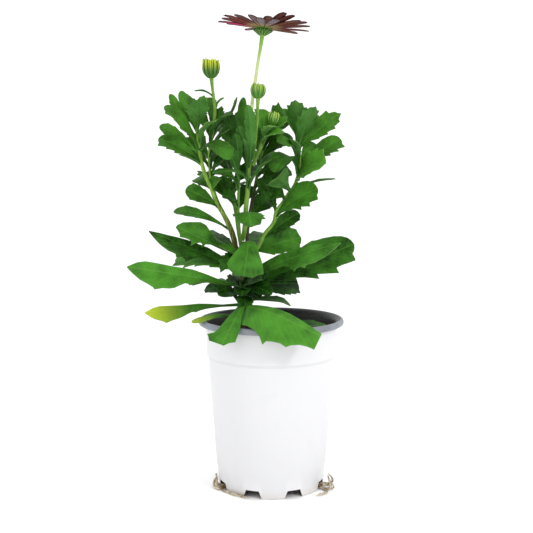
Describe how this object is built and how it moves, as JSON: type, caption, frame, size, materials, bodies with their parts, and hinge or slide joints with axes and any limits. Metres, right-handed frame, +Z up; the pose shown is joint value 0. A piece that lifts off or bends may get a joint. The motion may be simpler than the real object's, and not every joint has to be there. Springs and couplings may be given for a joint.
{
  "type": "potted osteospermum",
  "caption": "Potted osteospermum in bloom: leafy branching stems with one daisy flower and green buds, standing in a round tapered nursery pot with a rolled rim.",
  "frame": {"origin": "centre of the pot's underside, on the surface that it stands on", "axes": "+Z up along the pot's axis, -Y towards the front of the plant, +X to the right"},
  "size_m": [0.1654, 0.139, 0.3444],
  "materials": {
    "pot_plastic": "satin",
    "potting_mix": "matte",
    "leaf": "satin",
    "young_green": "satin",
    "ray_petal": "matte",
    "disc_floret": "matte",
    "root": "matte"
  },
  "bodies": {
    "root": {"pot": "pot_plastic", "potting_mix": "potting_mix", "crown": "leaf", "leafy_stem_left": "leaf", "leafy_stem_left_back": "leaf", "leafy_stem_back": "leaf", "leafy_stem_inner": "leaf", "leafy_stem_center": "leaf", "leafy_stem_right_back": "leaf", "leafy_stem_right": "leaf", "flower_stalk": "young_green", "flower_rays": "ray_petal", "flower_disc": "disc_floret", "bud_left": "young_green", "bud_center": "young_green", "bud_right": "young_green", "roots_left": "root", "roots_right": "root"}
  },
  "joints": []
}
